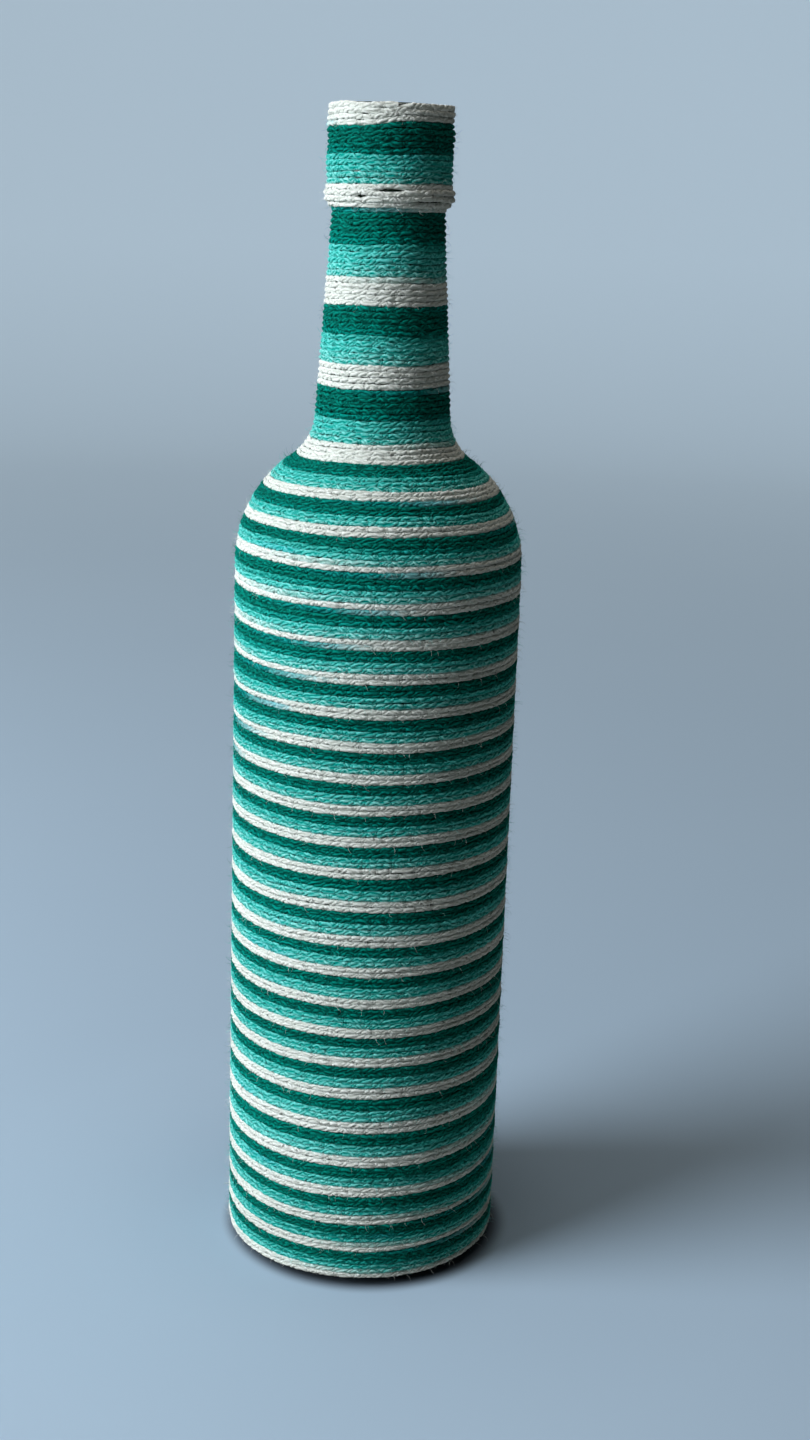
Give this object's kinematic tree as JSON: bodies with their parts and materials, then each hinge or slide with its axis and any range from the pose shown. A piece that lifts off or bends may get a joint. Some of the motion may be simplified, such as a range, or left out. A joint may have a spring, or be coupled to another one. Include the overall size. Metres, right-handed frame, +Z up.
{
  "type": "yarn-wrapped bottle",
  "caption": "Tall glass wine bottle wound from heel to rim in striped cotton yarn, with an open mouth that takes a cork, a stem or a candle.",
  "frame": {"origin": "centre of the ring that the bottle rests on, at table height", "axes": "+Z up the bottle's axis to the mouth, -Y towards the viewer"},
  "size_m": [0.078, 0.078, 0.318],
  "materials": {
    "glass": "gloss",
    "white_yarn": "matte",
    "teal_yarn": "matte",
    "mint_yarn": "matte"
  },
  "bodies": {
    "root": {"glass_bottle": "glass", "yarn_top_turns": "white_yarn", "white_yarn_bands": "white_yarn", "teal_yarn_bands": "teal_yarn", "mint_yarn_bands": "mint_yarn"}
  },
  "joints": []
}
